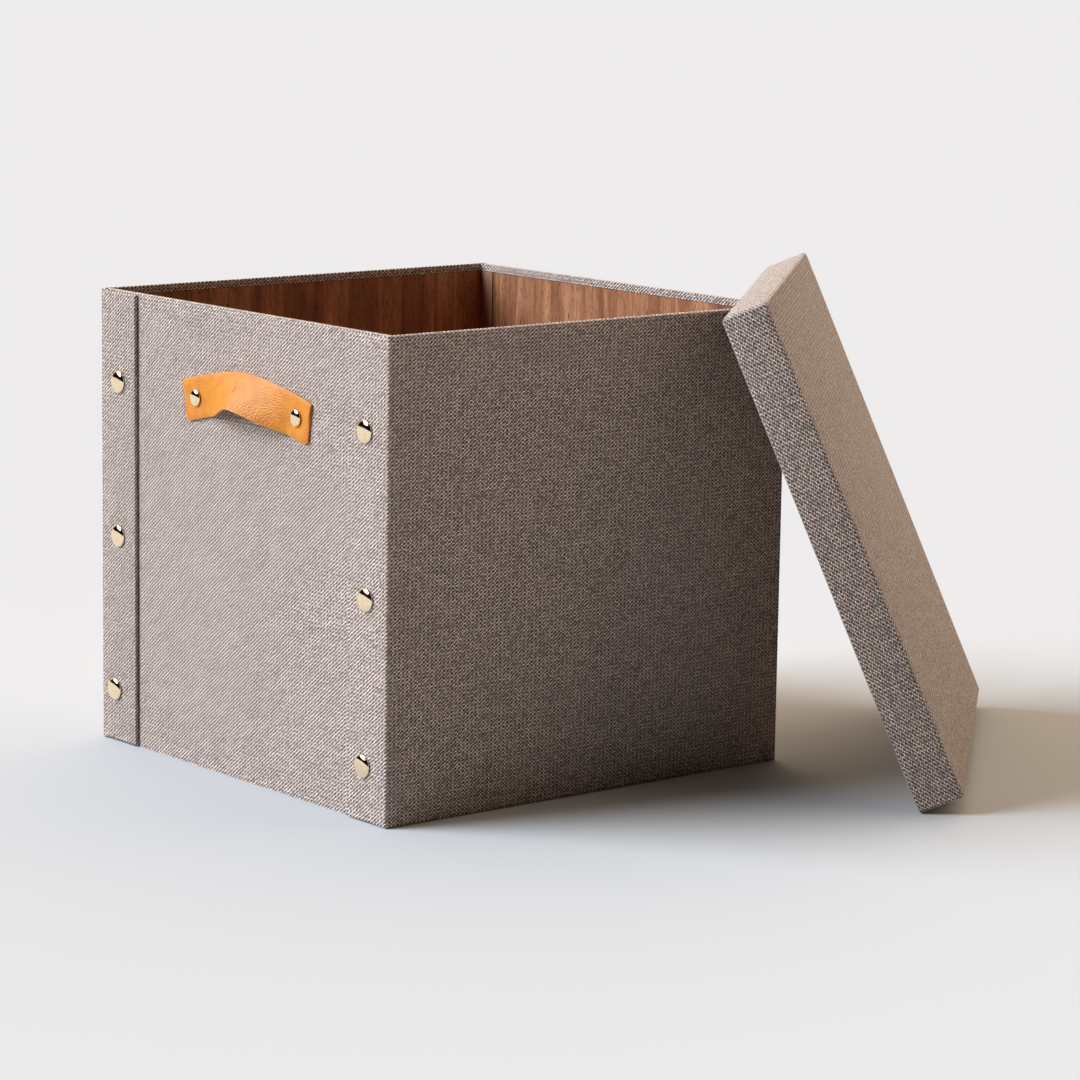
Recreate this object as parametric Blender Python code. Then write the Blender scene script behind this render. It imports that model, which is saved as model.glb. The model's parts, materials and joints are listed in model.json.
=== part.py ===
"""Lidded fabric storage bin with leather handles, in metres, +Z up.

The bin stands on the ground and its origin is under the middle of its base. Its long walls
face -Y (front) and +Y (back), and its end walls face -X (left) and +X (right). Each long wall
runs on into two flaps, which are folded round the corners and riveted, three brass caps each,
on the outside of the end walls. A walnut-printed lining covers the inside, and a loose floor
panel lies on the base. The lid is a shallow tray in the same fabric. It leans on the front
right corner of the bin, hollow side inward, and stands on the rim of its foot skirt.
"""

import math

import bmesh
import bpy
from mathutils import Matrix, Vector

# Bin, over all.
BOX_LENGTH = 0.320
BOX_WIDTH = 0.314
BOX_HEIGHT = 0.300

# Layers of a wall, from the outside in, with the space that neighbouring layers keep.
FABRIC = 0.0005
GAP = 0.0003
WALL_BOARD = 0.0020
LINING = 0.0005
WALL_THICKNESS = FABRIC + GAP + WALL_BOARD + GAP + LINING
TURN_IN = 0.0048

# Flaps and the caps that fasten them.
FLAP_WIDTH = 0.040
FLAP_BOARD = 0.0016
FLAP_THICKNESS = FABRIC + GAP + FLAP_BOARD
FLAP_TOP_DROP = 0.0013
FLAP_FOOT = 0.0015
FLAP_FOLD_NOTCH = (0.008, 0.004)
CAP_PLACES = {
    -1: ((0.016, 0.035), (0.0205, 0.1385), (0.021, 0.2405)),
    1: ((0.0235, 0.035), (0.0215, 0.1380), (0.0235, 0.2405)),
}
CAP_RADIUS = 0.0074
CAP_RISE = 0.0026

# Rivet posts, and the flanges that they are clenched into, in pockets of the board.
POST_RADIUS = 0.0020
HOLE_RADIUS = 0.0024
BURR_RADIUS = 0.0045
BURR_THICKNESS = 0.0006
BURR_POCKET_DEPTH = 0.0012

# Leather handles.
STRAP_WIDTH = 0.027
STRAP_THICKNESS = 0.0018
STRAP_HALF_LENGTH = 0.0675
STRAP_END_HEIGHT = 0.2369
STRAP_RAISE = 0.0109
STRAP_RAISE_POWER = 1.6
STRAP_ARCH_HALF = 0.0445
STRAP_ARCH_SHIFT = 0.004
STRAP_ARCH_POWERS = (1.5, 1.3)
STRAP_TILT = 0.66
STRAP_SHIFT = 0.007
STRAP_TOP_CLEARANCE = 0.0010
STRAP_END_ROUNDING = 0.0025
STRAP_STATIONS = 56
RIVET_SPACING = 0.109
RIVET_RADIUS = 0.0055
RIVET_RISE = 0.0021

# Base and the loose floor panel.
BASE_COVER = 0.0004
BASE_BOARD = 0.0025
LINING_FOOT = BASE_COVER + GAP + BASE_BOARD + GAP
FLOOR_CLEARANCE = 0.0006
FLOOR_BOARD = 0.0024
CORNER_STRIP_WIDTH = 0.0136
CORNER_STRIP = 0.0004

# Lid: its size, its layers and the way it leans on the bin.
LID_WIDTH = 0.325
LID_DEPTH = 0.331
LID_HEIGHT = 0.030
LID_BOARD = 0.0018
LID_LINING = 0.0004
LID_WALL = FABRIC + GAP + LID_BOARD + GAP + LID_LINING
LID_TURN_IN = 0.0080
LID_LEAN = math.radians(66.8)
LID_YAW = math.radians(47.21)
LID_CORNER_DEPTH = 0.0264
LID_CORNER_ALONG = 0.1311

# Colours as linear red, green and blue.
TWILL_COLOUR = (0.27, 0.22, 0.20)
GREYBOARD_COLOUR = (0.24, 0.22, 0.20)
WALNUT_COLOUR = (0.20, 0.08, 0.035)
LEATHER_COLOUR = (0.70, 0.30, 0.11)
BRASS_COLOUR = (0.75, 0.52, 0.25)

TURNED_SEGMENTS = 20
HOLE_SEGMENTS = 12
DOME_STEPS = 4


def clear_scene():
    """Remove every object of the scene."""
    for item in list(bpy.data.objects):
        bpy.data.objects.remove(item, do_unlink=True)


def make_material(name, colour, roughness, metallic=0.0):
    """Return a Principled material."""
    material = bpy.data.materials.new(name)
    material.use_nodes = True
    shader = material.node_tree.nodes["Principled BSDF"]
    shader.inputs["Base Color"].default_value = (*colour, 1.0)
    shader.inputs["Roughness"].default_value = roughness
    shader.inputs["Metallic"].default_value = metallic
    return material


def make_object(name, mesh_data, material=None, parent=None):
    """Turn a bmesh into a named object, optionally on a parent empty."""
    bmesh.ops.recalc_face_normals(mesh_data, faces=mesh_data.faces)
    mesh = bpy.data.meshes.new(name)
    mesh_data.to_mesh(mesh)
    mesh_data.free()
    item = bpy.data.objects.new(name, mesh)
    bpy.context.scene.collection.objects.link(item)
    if material is not None:
        mesh.materials.append(material)
    item.parent = parent
    return item


def make_empty(name, matrix):
    """Return an empty that carries the pieces of one wall or of one moving body."""
    empty = bpy.data.objects.new(name, None)
    bpy.context.scene.collection.objects.link(empty)
    empty.matrix_world = matrix
    return empty


def add_prism(mesh_data, outline, along, start, stop):
    """Add a prism: the outline lies in the two other axes, in their order, and runs along one."""
    def point(pair, reach):
        values = list(pair)
        values.insert(along, reach)
        return Vector(values)

    corners = [mesh_data.verts.new(point(pair, start)) for pair in outline]
    face = mesh_data.faces.new(corners)
    swept = bmesh.ops.extrude_face_region(mesh_data, geom=[face])
    moved = [item for item in swept["geom"] if isinstance(item, bmesh.types.BMVert)]
    shift = point((0.0, 0.0), stop - start)
    bmesh.ops.translate(mesh_data, verts=moved, vec=shift)


def add_box(mesh_data, x_span, y_span, z_span):
    """Add a box from its spans along the three axes."""
    outline = [
        (y_span[0], z_span[0]),
        (y_span[1], z_span[0]),
        (y_span[1], z_span[1]),
        (y_span[0], z_span[1]),
    ]
    add_prism(mesh_data, outline, 0, x_span[0], x_span[1])


def add_post_hole(mesh_data, x_place, z_place, y_span, radius=HOLE_RADIUS):
    """Add a round cutter along Y."""
    outline = []
    for step in range(HOLE_SEGMENTS):
        angle = 2.0 * math.pi * step / HOLE_SEGMENTS
        outline.append((x_place + radius * math.cos(angle), z_place + radius * math.sin(angle)))
    add_prism(mesh_data, outline, 1, y_span[0], y_span[1])


def turned_mesh(profile):
    """Return a closed turned mesh: (radius, height) points, heights along -Y, both ends on the axis."""
    body = bmesh.new()
    points = [body.verts.new((radius, -height, 0.0)) for radius, height in profile]
    edges = [body.edges.new(pair) for pair in zip(points, points[1:])]
    bmesh.ops.spin(
        body,
        geom=points + edges,
        cent=(0.0, 0.0, 0.0),
        axis=(0.0, 1.0, 0.0),
        angle=2.0 * math.pi,
        steps=TURNED_SEGMENTS,
    )
    bmesh.ops.remove_doubles(body, verts=body.verts, dist=0.000001)
    return body


def carve(target, cutter_data):
    """Cut a closed cutter out of an object with a Boolean."""
    cutter = make_object(target.name + "_cutter", cutter_data, parent=target.parent)
    cutter.hide_render = True
    cutter.display_type = "WIRE"
    modifier = target.modifiers.new("cut", "BOOLEAN")
    modifier.operation = "DIFFERENCE"
    modifier.solver = "EXACT"
    modifier.object = cutter


def smooth(item, sharp_degrees=40.0):
    """Shade a round piece smooth and keep its corners sharp."""
    item.data.shade_smooth()
    item.data.set_sharp_from_angle(angle=math.radians(sharp_degrees))


def cap_places(side):
    """Return the places (along the wall, height) of the three caps on one flap."""
    return [(side * (BOX_WIDTH / 2.0 - inset), height) for inset, height in CAP_PLACES[side]]


def strap_rivet_places():
    """Return the places (along the wall, height) of a strap's two rivets."""
    height = strap_centre_height(RIVET_SPACING / 2.0)
    return [(STRAP_SHIFT + side * RIVET_SPACING / 2.0, height) for side in (-1, 1)]


def end_rivet_places():
    """Return the places (along the wall, height) of the six caps and the two handle rivets."""
    return cap_places(-1) + cap_places(1) + strap_rivet_places()


def carrier(name, distance, turn):
    """Return a wall's empty: X along the wall, Y into the bin, origin at its outer face."""
    turned = Matrix.Rotation(turn, 4, "Z")
    return make_empty(name, turned @ Matrix.Translation((0.0, -distance, 0.0)))


def build_wall_cover(name, parent, half_length, closed_ends, material):
    """Fabric over a wall: its outer skin, its rim and the turn-in at the top of the inside."""
    body = bmesh.new()
    add_box(body, (-half_length, half_length), (0.0, WALL_THICKNESS), (0.0, BOX_HEIGHT))
    cover = make_object(name, body, material, parent)
    inner_skin = WALL_THICKNESS - LINING
    rim_under = BOX_HEIGHT - FABRIC
    turn_in_foot = BOX_HEIGHT - TURN_IN
    outline = [
        (FABRIC, -0.01),
        (FABRIC, rim_under),
        (inner_skin, rim_under),
        (inner_skin, turn_in_foot),
        (WALL_THICKNESS + 0.01, turn_in_foot),
        (WALL_THICKNESS + 0.01, -0.01),
    ]
    cut_half = half_length - FABRIC if closed_ends else half_length + 0.01
    hollow = bmesh.new()
    add_prism(hollow, outline, 0, -cut_half, cut_half)
    carve(cover, hollow)
    return cover


def build_wall(name, parent, half_length, lining_half, materials, closed_ends):
    """Cover, board and lining of one wall, in its carrier's frame."""
    cover = build_wall_cover(name + "_cover", parent, half_length, closed_ends, materials["twill"])
    board_half = half_length - FABRIC - GAP if closed_ends else half_length
    board_outer = FABRIC + GAP
    board_inner = board_outer + WALL_BOARD
    board_data = bmesh.new()
    board_top = BOX_HEIGHT - FABRIC - GAP
    add_box(board_data, (-board_half, board_half), (board_outer, board_inner), (GAP, board_top))
    board = make_object(name + "_board", board_data, materials["greyboard"], parent)
    lining_top = BOX_HEIGHT - TURN_IN - GAP
    lining_data = bmesh.new()
    lining_depth = (board_inner + GAP, WALL_THICKNESS)
    add_box(lining_data, (-lining_half, lining_half), lining_depth, (LINING_FOOT, lining_top))
    make_object(name + "_lining", lining_data, materials["walnut"], parent)
    return cover, board


def pierce_end_wall(cover, board):
    """Drill an end wall's cover and board for its posts, with pockets for the clenched flanges."""
    board_inner = FABRIC + GAP + WALL_BOARD
    cover_holes = bmesh.new()
    board_holes = bmesh.new()
    board_pockets = bmesh.new()
    pocket_span = (board_inner - BURR_POCKET_DEPTH, board_inner + 0.001)
    for along, height in end_rivet_places():
        add_post_hole(cover_holes, along, height, (-0.001, FABRIC + 0.0002))
        add_post_hole(board_holes, along, height, (FABRIC, board_inner + 0.001))
        add_post_hole(board_pockets, along, height, pocket_span, BURR_RADIUS + GAP)
    carve(cover, cover_holes)
    carve(board, board_holes)
    carve(board, board_pockets)


def flap_outline(side, outer_along, inner_along, foot, top, fold_notch):
    """Outline of a flap in X and Z, with its bottom corner trimmed at the fold."""
    notch_along, notch_height = fold_notch
    return [
        (side * inner_along, foot),
        (side * (outer_along - notch_along), foot),
        (side * outer_along, foot + notch_height),
        (side * outer_along, top),
        (side * inner_along, top),
    ]


def build_flap(name, parent, side, materials):
    """One flap on the outside of an end wall: fabric tray and board, pierced for three caps."""
    fold = BOX_WIDTH / 2.0 - WALL_THICKNESS - GAP
    free_edge = BOX_WIDTH / 2.0 - FLAP_WIDTH
    top = BOX_HEIGHT - FLAP_TOP_DROP
    back = -GAP
    front = back - FLAP_THICKNESS

    body = bmesh.new()
    add_prism(body, flap_outline(side, fold, free_edge, FLAP_FOOT, top, FLAP_FOLD_NOTCH), 1, front, back)
    cover = make_object(name + "_cover", body, materials["twill"], parent)
    hollow = bmesh.new()
    inner = flap_outline(
        side, fold + 0.001, free_edge + FABRIC, FLAP_FOOT + FABRIC, top - FABRIC, FLAP_FOLD_NOTCH
    )
    add_prism(hollow, inner, 1, front + FABRIC, back + 0.001)
    carve(cover, hollow)

    board_body = bmesh.new()
    margin = FABRIC + GAP
    board_shape = flap_outline(
        side, fold - GAP, free_edge + margin, FLAP_FOOT + margin, top - margin, FLAP_FOLD_NOTCH
    )
    add_prism(board_body, board_shape, 1, front + margin, back)
    board = make_object(name + "_board", board_body, materials["greyboard"], parent)

    for piece in (cover, board):
        holes = bmesh.new()
        for along, height in cap_places(side):
            add_post_hole(holes, along, height, (front - 0.001, back + 0.001))
        carve(piece, holes)


def rivet_profile(radius, rise, post_length):
    """Profile of a clenched rivet: flange and post in the wall, low domed cap outside."""
    lip = 0.15 * rise
    flange_top = BURR_THICKNESS - post_length
    profile = [(0.0, -post_length), (BURR_RADIUS, -post_length), (BURR_RADIUS, flange_top)]
    profile += [(POST_RADIUS, flange_top), (POST_RADIUS, 0.0), (radius - lip, 0.0), (radius, lip)]
    for step in range(1, DOME_STEPS):
        angle = math.pi / 2.0 * step / DOME_STEPS
        profile.append((radius * math.cos(angle), lip + (rise - lip) * math.sin(angle)))
    profile.append((0.0, rise))
    return profile


def build_rivets(name, parent, places, radius, rise, seat, material):
    """Clenched rivets, one object each, seated at a depth in front of the wall."""
    board_inner = FABRIC + GAP + WALL_BOARD
    for number, (along, height) in enumerate(places, start=1):
        body = turned_mesh(rivet_profile(radius, rise, board_inner - GAP - seat))
        rivet = make_object(f"{name}_{number}", body, material, parent)
        rivet.location = (along, seat, height)
        smooth(rivet)


def strap_centre_height(along):
    """Height of the strap's middle line at a distance from the wall's middle."""
    share = min(abs(along) / STRAP_HALF_LENGTH, 1.0)
    return STRAP_END_HEIGHT + STRAP_RAISE * (1.0 - share**STRAP_RAISE_POWER)


def strap_slope(along):
    """Angle of the strap's middle line in the wall's plane."""
    step = 0.0005
    return math.atan((strap_centre_height(along + step) - strap_centre_height(along - step)) / (2 * step))


def strap_arch(along):
    """How far the strap has left the wall, from 0 at its riveted ends to 1 in the middle."""
    share = min(abs(along - STRAP_ARCH_SHIFT) / STRAP_ARCH_HALF, 1.0)
    inner_power, outer_power = STRAP_ARCH_POWERS
    return (1.0 - share**inner_power) ** outer_power


def strap_section(along):
    """Return the strap's four corners at one station: inner and outer, bottom and top."""
    arch = strap_arch(along)
    tilt = STRAP_TILT * arch
    stand_off = GAP + STRAP_WIDTH / 2.0 * math.sin(tilt) + STRAP_TOP_CLEARANCE * arch
    slope = strap_slope(along)
    across = Vector((-math.sin(slope) * math.cos(tilt), math.sin(tilt), math.cos(slope) * math.cos(tilt)))
    run = Vector((math.cos(slope), 0.0, math.sin(slope)))
    outward = across.cross(run).normalized()
    if outward.y > 0.0:
        outward.negate()
    from_end = STRAP_HALF_LENGTH - abs(along)
    rounding = max(STRAP_END_ROUNDING - from_end, 0.0)
    half_width = STRAP_WIDTH / 2.0 - STRAP_END_ROUNDING
    half_width += math.sqrt(max(STRAP_END_ROUNDING**2 - rounding**2, 0.0))
    height = strap_centre_height(along) + STRAP_WIDTH / 2.0 * (1.0 - math.cos(tilt))
    middle = Vector((along + STRAP_SHIFT, -stand_off, height))
    bottom = middle - across * half_width
    top = middle + across * half_width
    thick = outward * STRAP_THICKNESS
    return [bottom, top, top + thick, bottom + thick]


def build_handle(name, parent, material, brass):
    """One leather strap and its two rivets."""
    body = bmesh.new()
    rings = []
    for step in range(STRAP_STATIONS + 1):
        share = -math.cos(math.pi * step / STRAP_STATIONS)
        share = 0.65 * share + 0.35 * (2.0 * step / STRAP_STATIONS - 1.0)
        rings.append([body.verts.new(point) for point in strap_section(share * STRAP_HALF_LENGTH)])
    for first, second in zip(rings, rings[1:]):
        for corner in range(4):
            after = (corner + 1) % 4
            body.faces.new((first[corner], first[after], second[after], second[corner]))
    body.faces.new(rings[0])
    body.faces.new(rings[-1])
    strap = make_object(name + "_strap", body, material, parent)
    holes = bmesh.new()
    for along, height in strap_rivet_places():
        add_post_hole(holes, along, height, (-0.01, 0.01))
    carve(strap, holes)
    smooth(strap)
    seat = -2.0 * GAP - STRAP_THICKNESS
    rivets = strap_rivet_places()
    build_rivets(name + "_rivet", parent, rivets, RIVET_RADIUS, RIVET_RISE, seat, brass)


def build_end(name, turn, flap_names, materials):
    """One end wall with its two flaps, their caps and its handle."""
    end_face = BOX_LENGTH / 2.0 - FLAP_THICKNESS - GAP
    parent = carrier(name + "_wall_carrier", end_face, turn)
    half = BOX_WIDTH / 2.0 - WALL_THICKNESS - GAP
    cover, board = build_wall(name + "_wall", parent, half, half, materials, False)
    pierce_end_wall(cover, board)
    for side, flap_name in zip((-1, 1), flap_names):
        build_flap(flap_name + "_flap", parent, side, materials)
        seat = -2.0 * GAP - FLAP_THICKNESS
        build_rivets(
            flap_name + "_cap", parent, cap_places(side), CAP_RADIUS, CAP_RISE, seat, materials["brass"]
        )
    build_handle(name + "_handle", parent, materials["leather"], materials["brass"])


def build_long_wall(name, turn, materials):
    """One long wall, whose cover closes over its ends at the corners."""
    parent = carrier(name + "_wall_carrier", BOX_WIDTH / 2.0, turn)
    lining_half = BOX_LENGTH / 2.0 - FLAP_THICKNESS - GAP - WALL_THICKNESS - GAP
    build_wall(name + "_wall", parent, BOX_LENGTH / 2.0, lining_half, materials, True)


def inside_halves():
    """Half length and half width of the space inside the linings."""
    half_length = BOX_LENGTH / 2.0 - FLAP_THICKNESS - GAP - WALL_THICKNESS
    half_width = BOX_WIDTH / 2.0 - WALL_THICKNESS
    return half_length, half_width


def build_base(materials):
    """Base board between the walls, and the cover under it."""
    inside_length, inside_width = inside_halves()
    half_length = inside_length + LINING
    half_width = inside_width + LINING
    cover = bmesh.new()
    span_x = (-half_length, half_length)
    span_y = (-half_width, half_width)
    add_box(cover, span_x, span_y, (0.0, BASE_COVER))
    make_object("base_cover", cover, materials["twill"])
    board = bmesh.new()
    board_foot = BASE_COVER + GAP
    add_box(board, span_x, span_y, (board_foot, board_foot + BASE_BOARD))
    make_object("base_board", board, materials["greyboard"])


def build_corner_strips(materials):
    """Plain strips of lining up the four inside corners, on the end walls."""
    inside_length, inside_width = inside_halves()
    height = (LINING_FOOT, BOX_HEIGHT - TURN_IN - GAP)
    for end, end_name in ((-1, "left"), (1, "right")):
        face = inside_length - GAP
        x_span = sorted((end * face, end * (face - CORNER_STRIP)))
        for side, side_name in ((-1, "front"), (1, "back")):
            corner = inside_width - GAP
            y_span = sorted((side * corner, side * (corner - CORNER_STRIP_WIDTH)))
            strip = bmesh.new()
            add_box(strip, x_span, y_span, height)
            make_object(f"{side_name}_{end_name}_corner_strip", strip, materials["walnut"])


def build_floor_panel(materials):
    """Loose floor panel, which lifts straight up: board below, walnut lining above."""
    inside_length, inside_width = inside_halves()
    half_length = inside_length - GAP - CORNER_STRIP - FLOOR_CLEARANCE
    half_width = inside_width - FLOOR_CLEARANCE
    parent = make_empty("floor_panel_slide", Matrix.Translation((0.0, 0.0, LINING_FOOT)))
    span_x = (-half_length, half_length)
    span_y = (-half_width, half_width)
    board = bmesh.new()
    add_box(board, span_x, span_y, (0.0, FLOOR_BOARD))
    make_object("floor_panel_board", board, materials["greyboard"], parent)
    lining = bmesh.new()
    lining_foot = FLOOR_BOARD + GAP
    add_box(lining, span_x, span_y, (lining_foot, lining_foot + LINING))
    make_object("floor_panel_lining", lining, materials["walnut"], parent)


def lid_matrix():
    """Place of the lid: X along its foot, Y up its lean, Z out of its top, on the ground."""
    along = Vector((math.sin(LID_YAW), math.cos(LID_YAW), 0.0))
    away = Vector((math.cos(LID_YAW), -math.sin(LID_YAW), 0.0))
    up = Vector((0.0, 0.0, 1.0))
    lean = up * math.sin(LID_LEAN) - away * math.cos(LID_LEAN)
    out = up * math.cos(LID_LEAN) + away * math.sin(LID_LEAN)
    corner = Vector((BOX_LENGTH / 2.0, -BOX_WIDTH / 2.0, BOX_HEIGHT))
    height_share = BOX_HEIGHT * math.cos(LID_LEAN)
    corner_away = (LID_CORNER_DEPTH - height_share) / math.sin(LID_LEAN)
    foot_end = corner - away * corner_away - along * LID_CORNER_ALONG
    foot_middle = foot_end + along * LID_WIDTH / 2.0
    foot_middle.z = 0.0
    matrix = Matrix((along, lean, out)).transposed().to_4x4()
    matrix.translation = foot_middle
    return matrix


def build_lid_top(parent, materials):
    """Cover and board of the lid's top."""
    margin = FABRIC + GAP
    half = LID_WIDTH / 2.0
    cover = bmesh.new()
    add_box(cover, (-half, half), (0.0, LID_DEPTH), (LID_HEIGHT - FABRIC, LID_HEIGHT))
    make_object("lid_top_cover", cover, materials["twill"], parent)
    board = bmesh.new()
    board_top = LID_HEIGHT - margin
    board_half = half - margin
    board_y = (margin, LID_DEPTH - margin)
    add_box(board, (-board_half, board_half), board_y, (board_top - LID_BOARD, board_top))
    make_object("lid_top_board", board, materials["greyboard"], parent)

def build_lid_lining(parent, materials):
    """Lining of the lid, one tray folded down inside all four skirts."""
    half = LID_WIDTH / 2.0
    outer = LID_WALL - LID_LINING
    foot = LID_TURN_IN + GAP
    top = LID_HEIGHT - outer
    body = bmesh.new()
    add_box(body, (outer - half, half - outer), (outer, LID_DEPTH - outer), (foot, top))
    lining = make_object("lid_lining", body, materials["greyboard"], parent)
    hollow = bmesh.new()
    hollow_y = (LID_WALL, LID_DEPTH - LID_WALL)
    add_box(hollow, (LID_WALL - half, half - LID_WALL), hollow_y, (0.0, top - LID_LINING))
    carve(lining, hollow)


def build_lid_skirt(name, lid, turn, centre, half_length, closed_ends, materials):
    """One skirt in its own frame: X along it, Y into the lid, Z from its rim to the top."""
    parent = bpy.data.objects.new(name + "_carrier", None)
    bpy.context.scene.collection.objects.link(parent)
    parent.parent = lid
    parent.matrix_local = Matrix.Translation(centre) @ Matrix.Rotation(turn, 4, "Z")
    skin_top = LID_HEIGHT - FABRIC - GAP
    inner_skin = LID_WALL - LID_LINING

    body = bmesh.new()
    add_box(body, (-half_length, half_length), (0.0, LID_WALL), (0.0, skin_top))
    cover = make_object(name + "_cover", body, materials["twill"], parent)
    outline = [
        (FABRIC, FABRIC),
        (inner_skin, FABRIC),
        (inner_skin, LID_TURN_IN),
        (LID_WALL + 0.01, LID_TURN_IN),
        (LID_WALL + 0.01, LID_HEIGHT),
        (FABRIC, LID_HEIGHT),
    ]
    cut_half = half_length - FABRIC if closed_ends else half_length + 0.01
    hollow = bmesh.new()
    add_prism(hollow, outline, 0, -cut_half, cut_half)
    carve(cover, hollow)

    board_half = half_length - FABRIC - GAP if closed_ends else half_length
    board_foot = FABRIC + GAP
    board_top = LID_HEIGHT - FABRIC - GAP - LID_BOARD - GAP
    board = bmesh.new()
    board_y = (board_foot, board_foot + LID_BOARD)
    add_box(board, (-board_half, board_half), board_y, (board_foot, board_top))
    make_object(name + "_board", board, materials["greyboard"], parent)


def build_lid(materials):
    """The whole lid on the empty that it tips about."""
    lid = make_empty("lid_tip", lid_matrix())
    build_lid_top(lid, materials)
    build_lid_lining(lid, materials)
    half_width = LID_WIDTH / 2.0
    middle = LID_DEPTH / 2.0
    side_half = middle - LID_WALL - GAP
    skirts = (
        ("lid_foot_skirt", 0.0, (0.0, 0.0, 0.0), half_width, True),
        ("lid_head_skirt", math.pi, (0.0, LID_DEPTH, 0.0), half_width, True),
        ("lid_left_skirt", -math.pi / 2.0, (-half_width, middle, 0.0), side_half, False),
        ("lid_right_skirt", math.pi / 2.0, (half_width, middle, 0.0), side_half, False),
    )
    for name, turn, centre, half_length, closed_ends in skirts:
        build_lid_skirt(name, lid, turn, centre, half_length, closed_ends, materials)


def main():
    """Build the bin, its floor panel and its lid."""
    clear_scene()
    materials = {
        "twill": make_material("melange twill", TWILL_COLOUR, 0.95),
        "greyboard": make_material("greyboard", GREYBOARD_COLOUR, 0.9),
        "walnut": make_material("walnut print", WALNUT_COLOUR, 0.6),
        "leather": make_material("pebbled leather", LEATHER_COLOUR, 0.5),
        "brass": make_material("polished brass", BRASS_COLOUR, 0.2, 1.0),
    }
    build_long_wall("front", 0.0, materials)
    build_long_wall("back", math.pi, materials)
    build_end("left", -math.pi / 2.0, ("back_left", "front_left"), materials)
    build_end("right", math.pi / 2.0, ("front_right", "back_right"), materials)
    build_base(materials)
    build_corner_strips(materials)
    build_floor_panel(materials)
    build_lid(materials)


main()
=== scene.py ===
"""Looks of the lidded fabric storage bin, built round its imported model.

The bin is board wrapped in a melange twill, lined with walnut-printed paper, riveted at its
four corners with brass caps and carried by two leather straps. Its lid, in the same cloth,
leans on the front right corner. All sizes are in metres.
"""

import json
import logging
import math
from collections.abc import Callable
from dataclasses import dataclass, field
from enum import Enum

import bmesh
import bpy
from mathutils import Matrix, Vector


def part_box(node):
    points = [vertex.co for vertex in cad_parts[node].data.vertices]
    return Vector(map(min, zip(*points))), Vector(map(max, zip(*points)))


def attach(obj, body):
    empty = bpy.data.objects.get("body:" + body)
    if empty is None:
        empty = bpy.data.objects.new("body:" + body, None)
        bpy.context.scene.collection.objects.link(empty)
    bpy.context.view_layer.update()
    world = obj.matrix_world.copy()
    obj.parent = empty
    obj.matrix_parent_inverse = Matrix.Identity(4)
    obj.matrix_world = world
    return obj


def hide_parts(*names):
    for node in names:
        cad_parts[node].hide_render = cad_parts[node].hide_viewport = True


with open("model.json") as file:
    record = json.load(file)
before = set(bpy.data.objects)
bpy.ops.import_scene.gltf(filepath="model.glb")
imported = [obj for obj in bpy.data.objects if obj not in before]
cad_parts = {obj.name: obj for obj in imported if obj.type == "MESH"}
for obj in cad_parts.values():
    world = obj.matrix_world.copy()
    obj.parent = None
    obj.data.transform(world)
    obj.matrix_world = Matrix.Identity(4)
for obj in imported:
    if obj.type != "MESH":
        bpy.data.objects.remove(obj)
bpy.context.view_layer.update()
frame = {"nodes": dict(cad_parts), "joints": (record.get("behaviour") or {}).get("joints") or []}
LOG = logging.getLogger("storage_bin")
MM = 0.001
UV_NAME = "UVMap"
CLOTH = 0.35 * MM
HEM_STEP = 0.3 * MM

Tree = bpy.types.NodeTree
Socket = bpy.types.NodeSocket
Body = bmesh.types.BMesh


# ---------------------------------------------------------------------------------------
# Shared helpers: colours, nodes and meshes.


def linear(hex_colour: str) -> tuple[float, float, float, float]:
    """Turn an sRGB hex colour into linear red, green, blue and alpha.

    Args:
        hex_colour: Six hex digits, with or without a leading hash.

    Returns:
        The four linear values, alpha being one.
    """
    digits = hex_colour.lstrip("#")
    values = []
    for start in (0, 2, 4):
        share = int(digits[start:start + 2], 16) / 255.0
        values.append(share / 12.92 if share <= 0.04045 else ((share + 0.055) / 1.055) ** 2.4)
    return values[0], values[1], values[2], 1.0


def add_node(
    tree: Tree,
    kind: str,
    settings: dict[str, object] | None = None,
    inputs: dict[int | str, object] | None = None,
) -> bpy.types.Node:
    """Add a node to a tree with its settings, values and links.

    Args:
        tree: The node tree that gets the node.
        kind: The node's type, such as ShaderNodeMath.
        settings: Properties of the node and their values.
        inputs: Sockets by name or number, each with a value or the socket it is linked from.

    Returns:
        The new node.
    """
    node = tree.nodes.new(kind)
    for name, value in (settings or {}).items():
        setattr(node, name, value)
    for name, value in (inputs or {}).items():
        socket = node.inputs[name]
        if isinstance(value, Socket):
            tree.links.new(value, socket)
        else:
            socket.default_value = value
    return node


def new_material(name: str) -> tuple[bpy.types.Material, Tree, bpy.types.Node]:
    """Start a material.

    Args:
        name: The material's name.

    Returns:
        The material, its node tree and its Principled shader.
    """
    material = bpy.data.materials.new(name)
    material.use_nodes = True
    tree = material.node_tree
    return material, tree, tree.nodes["Principled BSDF"]


def set_ramp(node: bpy.types.Node, stops: list[tuple[float, str]]) -> None:
    """Give a colour ramp its stops.

    Args:
        node: The Color Ramp node.
        stops: Place and hex colour of each stop, in order.
    """
    ramp = node.color_ramp
    while len(ramp.elements) < len(stops):
        ramp.elements.new(0.5)
    for element, (place, colour) in zip(ramp.elements, stops):
        element.position = place
        element.color = linear(colour)


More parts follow.
